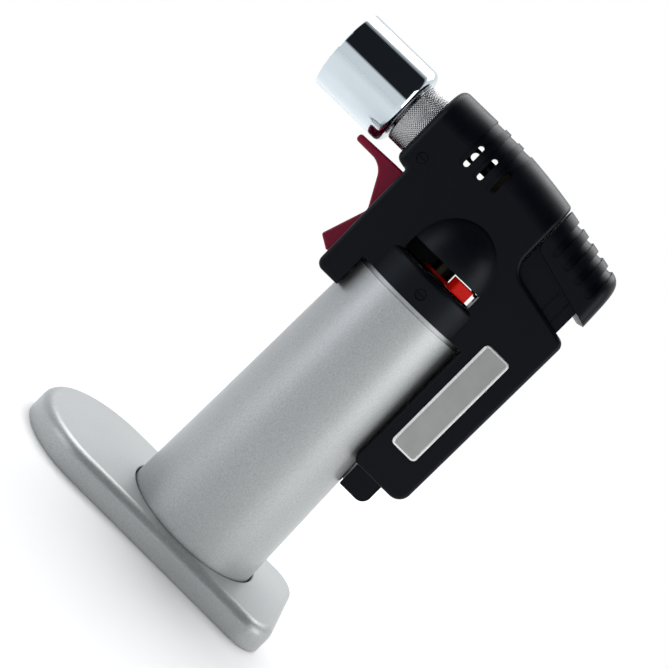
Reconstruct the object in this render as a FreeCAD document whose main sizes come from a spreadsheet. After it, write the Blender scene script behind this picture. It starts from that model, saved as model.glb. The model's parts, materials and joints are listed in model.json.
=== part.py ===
import FreeCAD, Part
import math
import os
import re

import Sketcher

# Butane torch standing in its removable base, in millimetres.
# Origin: the tank's axis where it meets the table. +Z runs up the tank, the nozzle points to -X and the
# thumb button and handle are on +X. The housing is split into a left (-Y) and a right (+Y) half.

Vec = FreeCAD.Vector

DIMENSIONS = {
    # stand
    "foot_proud": 0.3, "stand_height": 8.1, "stand_half_width": 26.2, "stand_edge_round": 3.0,
    "stand_front_x": -57.8, "stand_rear_x": 36.65, "stand_corner_round": 9.0,
    "recess_floor": 3.2, "recess_radius": 22.87, "recess_round": 0.5, "refill_hole_radius": 10.0,
    "refill_rim_width": 1.6,
    "foot_radius": 5.0, "foot_sink": 0.8, "foot_side_y": 15.0, "foot_front_x": -42.0, "foot_rear_x": 26.0,
    # tank
    "tank_foot_radius": 22.57, "tank_rim_radius": 19.35, "tank_rim_level": 96.7, "tank_top": 98.0,
    "tank_step_radius": 18.5, "tank_wall": 1.2, "neck_radius": 16.0, "neck_bore": 12.0, "neck_top": 104.5,
    "ring_screw_radius": 1.0, "ring_screw_reach": 2.7, "ring_screw_head": 1.45,
    "cap_thickness": 4.0, "cap_radius": 21.25, "refill_radius": 3.0, "refill_bore": 1.1,
    "refill_depth": 4.0, "refill_tip": 2.4, "wick_radius": 1.6, "wick_foot": 12.0,
    "head_flange_radius": 15.5, "head_flange_top": 106.4, "oring_level": 100.1,
    # outlet valve and its lifting gear
    "valve_radius": 4.0, "valve_flange_radius": 5.5, "valve_flange_top": 107.5, "chimney_radius": 3.2,
    "chimney_top": 114.0, "stem_radius": 1.2, "stem_foot": 100.0, "stem_flange_foot": 126.3,
    "stem_flange_top": 127.5, "stem_flange_radius": 2.4, "stem_tip": 128.6, "gas_port_level": 112.8,
    "rocker_x": -4.0, "rocker_level": 125.0, "rocker_half_width": 4.0, "rocker_pin_radius": 1.0,
    "rocker_arm_foot": 114.5, "running_gap": 0.05,
    # flow lever
    "lever_foot": 107.9, "lever_top": 111.75, "lever_hub_radius": 5.2, "lever_reach": 18.0,
    "lever_neck_width": 3.0, "lever_grip_width": 5.6, "lever_grip_length": 4.4, "lever_tip_round": 0.5,
    "lever_web": 0.9, "lever_angle": 25.5,
    # housing
    "half_width": 13.0, "shell_wall": 2.2, "body_height": 150.0, "crown_x": -18.3, "top_radius": 172.0,
    "top_side_round": 11.5, "barrel_front": -30.7, "barrel_round": 2.3, "chin_level": 123.2,
    "front_x": -26.4, "tab_foot": 87.5, "tab_round": 2.5, "tab_rear": -18.3, "lip_x": 13.35,
    "shoulder_round": 5.5, "shoulder_fall": 12.45, "shoulder_level": 124.07, "grip_rear_top": 37.25,
    "grip_rear_foot": 36.7, "grip_foot": 56.05, "grip_front": 18.6, "grip_foot_round": 4.0,
    "grip_top_round": 2.6, "grip_toe_round": 2.0, "edge_round": 1.3,
    "ring_foot": 98.1, "ring_top": 107.4, "ring_radius": 19.3, "ring_bore": 16.3, "ring_round": 1.8,
    "dome_x": 0.2, "dome_y": 6.0, "dome_level": 112.1, "dome_radius_x": 14.35, "dome_radius_y": 13.0,
    "dome_radius_z": 16.5, "dome_wall": 2.2, "window_half": 12.0, "window_far_front": 1.0,
    "bore_level": 134.8, "bore_radius": 10.6, "mechanism_rear": 10.8,
    "well_foot": 109.0, "chamber_floor": 0.8, "well_rear": 34.8,
    "handle_cavity_front": 23.0, "handle_cavity_foot": 58.3, "tank_gap": 0.4,
    "vent_first_x": -15.63, "vent_pitch": 5.08, "vent_foot": 134.3, "vent_top": 141.8, "vent_width": 1.7,
    "vent_far_shift": -1.0, "vent_far_top": 144.4, "vent_far_width": 2.6,
    "groove_width": 3.0, "groove_depth": 0.45, "groove_foot": 133.8, "groove_shift": -0.65,
    "slot_half": 5.85, "slot_foot": 91.2, "slot_top": 122.3, "slot_deep_x": -19.0,
    "spring_seat_x": -10.5, "spring_seat_foot": 117.6, "spring_seat_top": 121.2,
    "ring_screw_level": 101.85, "barrel_screw_x": -25.2, "barrel_screw_level": 128.1,
    "grip_screw_x": 32.9, "grip_screw_level": 59.0, "boss_radius": 2.0, "screw_head": 1.5,
    "screw_radius": 0.9, "screw_head_height": 1.3, "screw_seat": 1.65,
    # label plate
    "label_x": 26.67, "label_level": 86.1, "label_width": 8.75, "label_length": 37.6, "label_round": 1.4,
    "label_thickness": 0.7, "label_sink": 0.4,
    # trigger
    "trigger_half": 5.5, "trigger_block_x": -18.0, "trigger_top": 122.0, "trigger_tip_x": -42.8,
    "trigger_waist_x": -26.8, "trigger_waist_level": 107.7, "prong_top": 121.6, "prong_foot": 119.4,
    "prong_root_x": -33.0, "prong_shoulder_x": -30.0, "beak_x": -31.5, "beak_top": 94.2, "beak_foot": 91.8,
    "trigger_back_x": -25.3,
    "tongue_tip": -5.75, "tongue_foot": 114.6, "tongue_top": 116.0,
    # stop below the handle
    "stop_front": 21.1, "stop_rear": 30.2, "stop_foot": 47.5, "stop_round": 3.0, "stop_half": 6.0,
    # thumb button and igniter
    "button_front": 13.95, "button_rear": 37.8, "button_half": 12.4,
    "button_top_front": 146.45, "button_fall": 12.1, "button_skirt_front": 132.65, "button_skirt_rear": 125.8,
    "button_skirt_round": 2.2, "button_side_round": 10.0, "button_rear_round": 4.2, "button_lean": 0.7,
    "rib_first_x": 18.42, "rib_pitch": 4.63, "rib_gap": 2.2, "rib_depth": 0.8, "rib_foot": 133.7,
    "rib_fall": 0.7, "stem_box_half": 10.4, "stem_box_front": 13.8, "stem_box_rear": 33.6,
    "stem_box_foot": 118.6, "stem_box_roof": 139.5, "stem_box_wall": 2.0,
    "flute_first_x": 26.4, "flute_pitch": 3.9, "flute_width": 0.6, "flute_depth": 0.4, "flute_top": 128.2,
    "leg_front": 25.2, "leg_rear": 33.1, "leg_foot": 100.0,
    "piezo_front": 24.6, "piezo_rear": 34.4, "piezo_half": 5.0, "piezo_foot": 61.2, "piezo_top": 92.0,
    "plunger_front": 26.0, "plunger_rear": 33.0, "plunger_half": 3.6, "plunger_foot": 86.0,
    "piezo_bore_foot": 76.0,
    # burner
    "nozzle_level": 135.5, "flame_tube_radius": 12.5, "flame_tube_front": -62.4, "flame_tube_rear": -37.9,
    "flame_tube_wall": 0.8, "flame_tube_round": 2.3, "burner_front": -46.0, "burner_rear": -27.5,
    "burner_radius": 10.2, "burner_back": -38.9, "burner_neck": 6.6, "plenum_radius": 5.4,
    "collar_radius": 9.4, "collar_front": -37.4, "collar_rear": -28.2, "collar_hole": 9.75,
    "tube_level": 138.9, "tube_radius": 2.3, "tube_bore": 1.75, "tube_front": -31.5, "air_hole_radius": 1.35,
    "manifold_front": -7.6, "manifold_rear": -1.2, "manifold_foot": 131.0, "manifold_top": 144.2,
    "manifold_half": 3.4, "gas_tube_radius": 1.0, "gas_tube_x": 8.0, "gas_tube_bend": 3.0,
    "gas_way_radius": 0.4,
    "ceramic_level": 131.3, "ceramic_radius": 1.3, "ceramic_front": -47.5, "ceramic_rear": -27.8,
    "electrode_radius": 0.4, "electrode_tip": -52.0, "lead_radius": 0.5,
}

os.makedirs("parts", exist_ok=True)
doc = FreeCAD.newDocument("torch")
sheet = doc.addObject("Spreadsheet::Sheet", "Dims")
for row, (alias, size) in enumerate(DIMENSIONS.items(), start=1):
    sheet.set(f"A{row}", alias)
    sheet.set(f"B{row}", str(size))
    sheet.setAlias(f"B{row}", alias)
doc.recompute()

VENTS = 3
RIB_GAPS = 4
FLUTES = 2

# Height of the arched top line above a place along X.
TOP_LINE = "(body_height - top_radius + sqrt(top_radius^2 - ({x} - crown_x)^2))"
# Height of the thumb button's sloping top.
BUTTON_TOP = "(button_top_front - ({x} - button_front) * tan(button_fall))"
# Height of the sloping line from the shoulder to the back of the handle.
SHOULDER_LINE = "(shoulder_level - ({x} - lip_x) * tan(shoulder_fall))"
# Radius of the tapered tank at a height.
TANK_RADIUS = "(tank_foot_radius - (tank_foot_radius - tank_rim_radius) * ({z} - recess_floor)" \
              " / (tank_rim_level - recess_floor))"


def bound(text):
    """Turns plain dimension names into references to the sheet's cells."""
    return re.sub(r"[a-z][a-z_]+", lambda m: "Dims." + m[0] if m[0] in DIMENSIONS else m[0], str(text))


def value(text):
    """The present number of an expression."""
    return float(sheet.evalExpression(bound(text)))


def new_body(label):
    """An empty PartDesign body whose label names the piece."""
    body = doc.addObject("PartDesign::Body", label)
    body.Label = label
    return body


def new_sketch(body, name, plane, height="0", shift="0"):
    """A sketch on one of the body's origin planes, moved along its normal (height) and its own y (shift)."""
    sketch = body.newObject("Sketcher::SketchObject", name)
    base = next(f for f in body.Origin.OriginFeatures if f.Role == plane)
    sketch.AttachmentSupport = [(base, "")]
    sketch.MapMode = "FlatFace"
    sketch.setExpression("AttachmentOffset.Base.z", bound(height))
    sketch.setExpression("AttachmentOffset.Base.y", bound(shift))
    return sketch


def fix_size(sketch, constraint, text):
    """Adds a constraint and ties it to the sheet."""
    index = sketch.addConstraint(constraint)
    sketch.setExpression(f"Constraints[{index}]", bound(text))


def fix_point(sketch, curve, end, x, y):
    """Ties one point of a curve to a place measured from the sketch's origin."""
    fix_size(sketch, Sketcher.Constraint("DistanceX", -1, 1, curve, end, value(x)), x)
    fix_size(sketch, Sketcher.Constraint("DistanceY", -1, 1, curve, end, value(y)), y)


def draw_run(sketch, start, target, turn):
    """Adds a straight run, or with turn = (radius, side) an arc, and returns the curve's end numbers."""
    if turn is None:
        curve = sketch.addGeometry(Part.LineSegment(start, target), False)
        return curve, 1, 2
    radius, side = value(turn[0]), turn[1]
    chord = target - start
    left = Vec(-chord.y, chord.x, 0).normalize()
    rise = math.sqrt(max(radius**2 - (chord.Length / 2) ** 2, 0.0))
    sign = 1 if side == "left" else -1
    centre = (start + target) * 0.5 + left * (rise * sign)
    first, last = (start, target) if sign > 0 else (target, start)
    angles = [math.atan2(p.y - centre.y, p.x - centre.x) for p in (first, last)]
    if angles[1] < angles[0]:
        angles[1] += 2 * math.pi
    curve = sketch.addGeometry(Part.ArcOfCircle(Part.Circle(centre, Vec(0, 0, 1), radius), *angles), False)
    fix_size(sketch, Sketcher.Constraint("Radius", curve, radius), turn[0])
    return (curve, 1, 2) if sign > 0 else (curve, 2, 1)


def outline(sketch, points, closed=True):
    """Draws (x, y) corners in order; (x, y, radius, side) is reached by an arc that turns to that side."""
    places = [Vec(value(p[0]), value(p[1]), 0) for p in points]
    runs = []
    for i in range(len(points) if closed else len(points) - 1):
        j = (i + 1) % len(points)
        runs.append(draw_run(sketch, places[i], places[j], points[j][2:] or None))
    for i, (curve, first, last) in enumerate(runs):
        fix_point(sketch, curve, first, *points[i][:2])
        if closed or i + 1 < len(runs):
            following = runs[(i + 1) % len(runs)]
            sketch.addConstraint(Sketcher.Constraint("Coincident", curve, last, following[0], following[1]))
        else:
            fix_point(sketch, curve, last, *points[-1][:2])


def ring(sketch, x, y, radius):
    """Draws a circle."""
    centre = Vec(value(x), value(y), 0)
    curve = sketch.addGeometry(Part.Circle(centre, Vec(0, 0, 1), value(radius)), False)
    fix_point(sketch, curve, 3, x, y)
    fix_size(sketch, Sketcher.Constraint("Radius", curve, value(radius)), radius)


def rectangle(x0, y0, x1, y1):
    """The four corners of a rectangle."""
    return [(x0, y0), (x1, y0), (x1, y1), (x0, y1)]


def feature(body, kind, name, profile, **settings):
    """Adds a feature to a body, and makes sure that it added or removed material."""
    doc.recompute()
    before = body.Shape.Volume if body.Tip and not body.Shape.isNull() else 0.0
    made = body.newObject(kind, name)
    made.Profile = profile
    for key, setting in settings.items():
        if key in ("Length", "Angle"):
            made.setExpression(key, bound(setting))
        else:
            setattr(made, key, setting)
    doc.recompute()
    profile.Visibility = False
    change = body.Shape.Volume - before
    removes = kind.endswith(("Pocket", "Groove"))
    if abs(change) < 1e-6 or (change < 0) != removes:
        status = made.getStatusString()
        raise RuntimeError(f"{body.Label}.{name} changed the volume by {change:.4f}: {status}")
    return made


def pad(body, name, profile, length, both=False, back=False):
    """Adds material from a profile."""
    settings = {"Length": length, "Midplane": both, "Reversed": back}
    return feature(body, "PartDesign::Pad", name, profile, **settings)


def pocket(body, name, profile, length, both=False, back=False):
    """Cuts a profile out; unless back is set, a pocket runs against its sketch's normal."""
    settings = {"Length": length, "Midplane": both, "Reversed": back}
    return feature(body, "PartDesign::Pocket", name, profile, **settings)


def turned(body, name, points, axis="V_Axis", shift="0"):
    """Revolves an outline drawn in the XZ plane about the sketch's vertical or horizontal axis."""
    profile = new_sketch(body, name + "_profile", "XZ_Plane", shift=shift)
    outline(profile, points)
    return feature(body, "PartDesign::Revolution", name, profile,
                   ReferenceAxis=(profile, [axis]), Angle="360")


def block(body, name, plane, corners, length, height="0", cut=False, both=False, back=False):
    """Pads or pockets one outline."""
    profile = new_sketch(body, name + "_profile", plane, height)
    outline(profile, corners)
    work = pocket if cut else pad
    return work(body, name, profile, length, both, back)


def drum(body, name, plane, centre, radius, length, height="0", cut=False, both=False, back=False):
    """Pads or pockets one circle."""
    profile = new_sketch(body, name + "_profile", plane, height)
    ring(profile, centre[0], centre[1], radius)
    work = pocket if cut else pad
    return work(body, name, profile, length, both, back)


def edges_at(body, places):
    """Names of the body's edges that pass through the given places."""
    names = []
    for place in places:
        spot = Part.Vertex(Vec(*[value(c) for c in place]))
        distances = [edge.distToShape(spot)[0] for edge in body.Shape.Edges]
        nearest = min(range(len(distances)), key=distances.__getitem__)
        if distances[nearest] > 0.6:
            raise RuntimeError(f"{body.Label} has no edge at {place}")
        name = f"Edge{nearest + 1}"
        if name not in names:
            names.append(name)
    return names


def rounded(body, name, places, radius):
    """Rounds the edges found at the given places."""
    doc.recompute()
    made = body.newObject("PartDesign::Fillet", name)
    made.Base = (body.Tip if body.Tip != made else made.BaseFeature, edges_at(body, places))
    made.setExpression("Radius", bound(radius))
    doc.recompute()
    if "Invalid" in made.State or "Error" in made.State:
        raise RuntimeError(f"{body.Label}.{name} failed on {made.Base[1]}: {made.getStatusString()}")
    return made


def stand_outline(inset):
    """D-shaped plan: a half-round front and a squared rear with rounded corners."""
    half = f"stand_half_width - {inset}"
    rear = f"stand_rear_x - {inset}"
    corner = f"stand_corner_round - {inset}"
    nose_x = "stand_front_x + stand_half_width"
    return [
        (f"{rear} - ({corner})", f"-({half})"),
        (rear, f"-({half}) + {corner}", corner, "left"),
        (rear, f"{half} - ({corner})"),
        (f"{rear} - ({corner})", half, corner, "left"),
        (nose_x, half),
        (f"stand_front_x + {inset}", "0", half, "left"),
        (nose_x, f"-({half})", half, "left"),
    ]


def make_stand():
    """Base plate with a recess for the tank and a hole below the refill valve."""
    body = new_body("stand_base")
    block(body, "plate", "XY_Plane", stand_outline("0"), "stand_height - foot_proud", "foot_proud")
    rounded(body, "edge", [("0", "stand_half_width", "stand_height")], "stand_edge_round")
    drum(body, "recess", "XY_Plane", ("0", "0"), "recess_radius", "stand_height - recess_floor",
         "stand_height", cut=True)
    rounded(body, "recess_rim", [("0", "-recess_radius", "stand_height")], "recess_round")
    drum(body, "refill_rim", "XY_Plane", ("0", "0"), "refill_hole_radius + refill_rim_width", "foot_proud")
    drum(body, "refill_hole", "XY_Plane", ("0", "0"), "refill_hole_radius", "recess_floor",
         "recess_floor", cut=True)
    sockets = new_sketch(body, "foot_sockets", "XY_Plane", "foot_proud")
    for x in ("foot_front_x", "foot_rear_x"):
        for side in ("-", ""):
            ring(sockets, x, side + "foot_side_y", "foot_radius + 0.1")
    pocket(body, "sockets", sockets, "foot_sink", back=True)
    return body


def make_feet():
    """Four soft pads set in sockets under the base."""
    pads = []
    for x in ("foot_front_x", "foot_rear_x"):
        for side in ("-", ""):
            foot = doc.addObject("Part::Cylinder", "foot_pad")
            foot.setExpression("Radius", bound("foot_radius"))
            foot.setExpression("Height", bound("foot_proud + foot_sink - 0.02"))
            foot.setExpression("Placement.Base.x", bound(x))
            foot.setExpression("Placement.Base.y", bound(side + "foot_side_y"))
            pads.append(foot)
    group = doc.addObject("Part::Compound", "stand_feet")
    group.Links = pads
    return group


def make_tank_shell():
    """Tapered tank open at the foot, with a stepped rim and a thick screwed neck."""
    inner_top = TANK_RADIUS.format(z="tank_rim_level") + " - tank_wall"
    cap_top = "recess_floor + cap_thickness"
    body = new_body("tank_shell")
    turned(body, "wall", [
        ("cap_radius + 0.05", "recess_floor"),
        ("tank_foot_radius", "recess_floor"),
        ("tank_rim_radius", "tank_rim_level"),
        ("tank_step_radius", "tank_rim_level"),
        ("tank_step_radius", "tank_top"),
        ("neck_radius", "tank_top"),
        ("neck_radius", "neck_top"),
        ("neck_bore", "neck_top"),
        ("neck_bore", "tank_rim_level - 2"),
        (inner_top, "tank_rim_level - 2"),
        ("tank_foot_radius - tank_wall - 0.2", cap_top),
        ("cap_radius + 0.05", cap_top),
    ])
    for name, mouth in (("left", "neck_radius + 0.1"), ("right", "-(neck_radius + 0.1)")):
        drum(body, f"{name}_screw_hole", "XZ_Plane", ("dome_x", "ring_screw_level"),
             "ring_screw_radius + 0.05", "ring_screw_reach", mouth, cut=True, back=name == "right")
    return body


def make_tank_cap():
    """Disc that closes the tank's foot round the refill valve."""
    body = new_body("tank_bottom_cap")
    turned(body, "disc", rectangle("refill_radius + 0.05", "recess_floor", "cap_radius",
                                   "recess_floor + cap_thickness"))
    return body


def make_refill_valve():
    """Refill valve with a socket for a gas can's nozzle."""
    top = "recess_floor + cap_thickness"
    body = new_body("refill_valve")
    turned(body, "barrel", [
        ("refill_bore", "refill_tip"),
        ("refill_radius", "refill_tip"),
        ("refill_radius", top),
        ("refill_radius + 1.5", top),
        ("refill_radius + 1.5", top + " + 1.6"),
        ("0", top + " + 1.6"),
        ("0", "refill_tip + refill_depth"),
        ("refill_bore", "refill_tip + refill_depth"),
    ])
    return body


def make_tank_head():
    """Plug that closes the tank's neck, with a seal groove and a bore for the outlet valve."""
    body = new_body("tank_head")
    bore = "valve_radius + running_gap"
    turned(body, "plug", [
        (bore, "tank_top + 0.3"),
        ("neck_bore - 0.05", "tank_top + 0.3"),
        ("neck_bore - 0.05", "oring_level - 0.9"),
        ("neck_bore - 1.45", "oring_level - 0.9"),
        ("neck_bore - 1.45", "oring_level + 0.9"),
        ("neck_bore - 0.05", "oring_level + 0.9"),
        ("neck_bore - 0.05", "neck_top"),
        ("head_flange_radius", "neck_top"),
        ("head_flange_radius", "head_flange_top"),
        (bore, "head_flange_top"),
    ])
    return body


def make_head_seal():
    """Rubber ring in the plug's groove."""
    seal = doc.addObject("Part::Torus", "head_seal")
    seal.setExpression("Radius1", bound("neck_bore - 0.73"))
    seal.Radius2 = 0.62
    seal.setExpression("Placement.Base.z", bound("oring_level"))
    return seal


def make_valve_body():
    """Outlet valve: shank in the tank head, flange, and chimney with a side port for the gas tube."""
    body = new_body("outlet_valve_body")
    bore = "stem_radius + running_gap"
    turned(body, "shank", [
        (bore, "tank_top + 0.4"),
        ("valve_radius", "tank_top + 0.4"),
        ("valve_radius", "head_flange_top"),
        ("valve_flange_radius", "head_flange_top"),
        ("valve_flange_radius", "valve_flange_top"),
        ("chimney_radius", "valve_flange_top"),
        ("chimney_radius", "chimney_top"),
        (bore, "chimney_top"),
    ])
    drum(body, "gas_port", "YZ_Plane", ("0", "gas_port_level"), "0.5", "chimney_radius", cut=True, back=True)
    return body


def make_valve_stem():
    """Valve stem with the flange that the rocker lifts."""
    body = new_body("valve_stem")
    turned(body, "stem", [
        ("0", "stem_foot"),
        ("stem_radius", "stem_foot"),
        ("stem_radius", "stem_flange_foot"),
        ("stem_flange_radius", "stem_flange_foot"),
        ("stem_flange_radius", "stem_flange_top"),
        ("stem_radius - 0.2", "stem_flange_top"),
        ("stem_radius - 0.2", "stem_tip"),
        ("0", "stem_tip"),
    ])
    return body


def make_wick():
    """Felt wick that hangs in the liquid gas."""
    wick = doc.addObject("Part::Cylinder", "wick")
    wick.setExpression("Radius", bound("wick_radius"))
    wick.setExpression("Height", bound("tank_top + 0.3 - wick_foot"))
    wick.setExpression("Placement.Base.z", bound("wick_foot"))
    return wick


def make_coil(label, radius, wire, length, turns, base, tilt=None):
    """Helical compression spring that stands on base; tilt = (axis, degrees) turns it off +Z."""
    path = doc.addObject("Part::Helix", label + "_path")
    path.setExpression("Radius", bound(radius))
    path.setExpression("Height", bound(f"({length}) - 2 * {wire}"))
    path.setExpression("Pitch", bound(f"(({length}) - 2 * {wire}) / {turns}"))
    section = doc.addObject("Part::Circle", label + "_section")
    section.setExpression("Radius", bound(wire))
    section.setExpression("Placement.Base.x", bound(radius))
    section.Placement.Rotation = FreeCAD.Rotation(Vec(1, 0, 0), 90)
    coil = doc.addObject("Part::Sweep", label)
    coil.Sections = [section]
    coil.Spine = (path, ["Edge1"])
    coil.Solid = True
    coil.Frenet = True
    if tilt:
        coil.Placement.Rotation = FreeCAD.Rotation(tilt[0], tilt[1])
    for axis, place in zip("xyz", base):
        coil.setExpression(f"Placement.Base.{axis}", bound(place))
    return coil


def make_flow_lever():
    """Thin lever with an upright grip, turning about the outlet valve; drawn towards -Y, then swung."""
    body = new_body("flow_lever")
    neck, grip = "lever_neck_width / 2", "lever_grip_width / 2"
    drum(body, "hub", "XY_Plane", ("0", "0"), "lever_hub_radius", "lever_web", "lever_foot")
    block(body, "neck", "XY_Plane", rectangle(f"-{neck}", "1 - lever_reach", neck, "-chimney_radius - 1"),
          "lever_web", "lever_foot")
    block(body, "grip", "XY_Plane",
          rectangle(f"-{grip}", "-lever_reach", grip, "lever_grip_length - lever_reach"),
          "lever_top - lever_foot", "lever_foot")
    tip = [("0", "-lever_reach", level) for level in ("lever_foot", "lever_top")]
    tip += [(f"{sign}{grip}", "-lever_reach", "(lever_foot + lever_top) / 2") for sign in ("-", "")]
    rounded(body, "tip_round", tip, "lever_tip_round")
    drum(body, "bore", "XY_Plane", ("0", "0"), "chimney_radius + 0.08", "20", "lever_top", cut=True)
    body.Placement.Rotation = FreeCAD.Rotation(Vec(0, 0, 1), value("lever_angle"))
    return body


def housing_outline():
    """Side view of the housing with sharp corners: barrel, chin, trigger tab, ring line, handle, shoulder."""
    return [
        ("barrel_front", "chin_level"),
        ("barrel_front", "body_height"),
        ("crown_x", "body_height"),
        ("lip_x", TOP_LINE.format(x="lip_x"), "top_radius", "right"),
        ("lip_x", "shoulder_level"),
        ("grip_rear_top", SHOULDER_LINE.format(x="grip_rear_top")),
        ("grip_rear_foot", "grip_foot"),
        ("grip_front", "grip_foot"),
        ("grip_front", "ring_foot"),
        ("tab_rear", "ring_foot"),
        ("tab_rear", "tab_foot"),
        ("front_x", "tab_foot"),
        ("front_x", "chin_level"),
    ]


def round_housing(body, sign):
    """Rounds the housing's corners in side view, then its crown, its front face and its outer rims."""
    middle = f"{sign}half_width / 2"
    corners = {
        "shoulder": (("lip_x", "shoulder_level"), "shoulder_round"),
        "grip_top": (("grip_rear_top", SHOULDER_LINE.format(x="grip_rear_top")), "grip_top_round"),
        "grip_heel": (("grip_rear_foot", "grip_foot"), "grip_foot_round"),
        "grip_toe": (("grip_front", "grip_foot"), "grip_toe_round"),
        "tab_corner": (("front_x", "tab_foot"), "tab_round"),
        "chin_corner": (("front_x", "chin_level"), "0.9"),
    }
    for name, ((x, level), radius) in corners.items():
        rounded(body, name, [(x, middle, level)], radius)
    edge_y = f"{sign}half_width"
    rounded(body, "crown", [("crown_x - 5", edge_y, "body_height"), ("0", edge_y, TOP_LINE.format(x="0"))],
            "top_side_round")
    slant = "top_side_round * (1 - sqrt(0.5))"
    rounded(body, "front_rim", [
        ("barrel_front", f"{sign}0.7", "body_height"),
        ("barrel_front", f"{sign}(half_width - {slant})", f"body_height - {slant}"),
        ("barrel_front", edge_y, "130"),
        ("barrel_front", middle, "chin_level"),
    ], "barrel_round")
    rounded(body, "side_rim", [
        ("25", edge_y, SHOULDER_LINE.format(x="25")),
        ("(grip_rear_top + grip_rear_foot) / 2", edge_y, "86"),
        ("28", edge_y, "grip_foot"),
        ("grip_front", edge_y, "75"),
        ("front_x", edge_y, "105"),
    ], "edge_round")


def make_housing(label, side):
    """One half of the split housing; side is -1 for the left half and 1 for the right."""
    body = new_body(label)
    sign = "-" if side < 0 else ""
    outward = side > 0
    block(body, "side", "XZ_Plane", housing_outline(), "half_width", back=outward)
    round_housing(body, sign)
    drum(body, "ring", "XY_Plane", ("0", "0"), "ring_radius", "ring_top - ring_foot", "ring_foot")
    rounded(body, "ring_rim", [("0", f"{sign}ring_radius", "ring_top")], "ring_round")
    add_dome(body, "PartDesign::AdditiveEllipsoid", "dome", sign, "0")
    add_dome(body, "PartDesign::SubtractiveEllipsoid", "dome_hollow", sign, "dome_wall")
    # The plane where the halves meet: everything beyond it goes.
    block(body, "parting", "XZ_Plane", rectangle("-60", "40", "60", "160"), "60", cut=True, back=outward)
    cut_cavities(body, sign, outward)
    cut_openings(body, sign, outward)
    add_bosses(body, side, outward)
    return body


def add_dome(body, kind, name, sign, wall):
    """Upper half of an ellipsoid that bulges out of the side above the lever window."""
    made = body.newObject(kind, name)
    base = next(f for f in body.Origin.OriginFeatures if f.Role == "XY_Plane")
    made.AttachmentSupport = [(base, "")]
    made.MapMode = "FlatFace"
    made.setExpression("Radius1", bound(f"dome_radius_z - {wall}"))
    made.setExpression("Radius2", bound(f"dome_radius_x - {wall}"))
    made.setExpression("Radius3", bound(f"dome_radius_y - {wall}"))
    made.Angle1 = 0
    made.Angle2 = 90
    made.setExpression("AttachmentOffset.Base.x", bound("dome_x"))
    made.setExpression("AttachmentOffset.Base.y", bound(f"{sign}dome_y"))
    made.setExpression("AttachmentOffset.Base.z", bound("dome_level"))
    doc.recompute()
    return made


def clear_tank(body):
    """Takes away whatever comes nearer to the tank than the gap round it."""
    foot = "stop_foot - 5"
    trough = new_sketch(body, "tank_trough_profile", "XZ_Plane")
    outline(trough, [
        ("0", foot),
        (TANK_RADIUS.format(z=f"({foot})") + " + tank_gap", foot),
        ("tank_rim_radius + tank_gap", "tank_rim_level"),
        ("tank_rim_radius + tank_gap", "ring_foot"),
        ("0", "ring_foot"),
    ])
    feature(body, "PartDesign::Groove", "tank_trough", trough,
            ReferenceAxis=(trough, ["V_Axis"]), Angle="360")


def cut_cavities(body, sign, outward):
    """Hollows for the burner, the valve gear, the thumb button, the igniter, the neck and the tank."""
    depth = "half_width - shell_wall"
    drum(body, "barrel_bore", "YZ_Plane", ("0", "bore_level"), "bore_radius",
         "mechanism_rear - barrel_front - shell_wall", "mechanism_rear", cut=True)
    drum(body, "collar_hole", "YZ_Plane", ("0", "nozzle_level"), "collar_hole", "shell_wall + 2",
         "barrel_front - 1", cut=True, back=True)
    cavities = {
        "valve_chamber": rectangle("front_x + shell_wall", "ring_top + chamber_floor", "mechanism_rear",
                                   "bore_level"),
        "button_well": rectangle("lip_x", "well_foot", "well_rear", "140"),
        "igniter_bay": rectangle("handle_cavity_front", "handle_cavity_foot", "well_rear", "well_foot + 2"),
    }
    for name, corners in cavities.items():
        block(body, name, "XZ_Plane", corners, depth, cut=True, back=not outward)
    drum(body, "neck_room", "XY_Plane", ("0", "0"), "ring_bore", "ring_top - ring_foot", "ring_top", cut=True)
    block(body, "chamber_mouth", "XY_Plane",
          rectangle("-window_half", f"-({depth})", "window_half", depth), "chamber_floor + 0.01",
          "ring_top + chamber_floor", cut=True)
    clear_tank(body)


def cut_openings(body, sign, outward):
    """Lever window, vents with their grooves, trigger slot, foot slot and the label's seat."""
    window_front = "-window_half" if sign else "window_far_front"
    block(body, "lever_window", "XZ_Plane", rectangle(window_front, "ring_top", "window_half", "dome_level"),
          "30", cut=True, back=not outward)
    slot = "slot_half"
    block(body, "trigger_slot", "XZ_Plane", rectangle("front_x - 3", "slot_foot", "slot_deep_x", "slot_top"),
          slot, cut=True, back=not outward)
    block(body, "foot_slot", "XZ_Plane",
          rectangle("stop_front - 0.26", "grip_foot - 1", "stop_rear + 0.23", "handle_cavity_foot + 1"),
          "stop_half + 0.3", cut=True, back=not outward)
    vents = new_sketch(body, "vent_profile", "XZ_Plane")
    reach = "vent_far_width / 2" if outward else "vent_width / 2"
    shift = "vent_far_shift" if outward else "0"
    top = "vent_far_top" if outward else "vent_top"
    for i in range(VENTS):
        x = f"(vent_first_x + {i} * vent_pitch + {shift})"
        outline(vents, [
            (f"{x} - {reach}", f"vent_foot + {reach}"),
            (f"{x} + {reach}", f"vent_foot + {reach}", f"{reach} * 1.001", "left"),
            (f"{x} + {reach}", f"{top} - {reach}"),
            (f"{x} - {reach}", f"{top} - {reach}", f"{reach} * 1.001", "left"),
        ])
    pocket(body, "vents", vents, "30", back=not outward)
    for i in range(VENTS):
        middle = f"(vent_first_x + {i} * vent_pitch + groove_shift)"
        cut_arch(body, f"groove_{i}", middle, ("groove_width", "groove_depth", "groove_foot"),
                 ("half_width", "top_side_round", TOP_LINE.format(x=middle)),
                 ["right" if outward else "left"])


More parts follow.
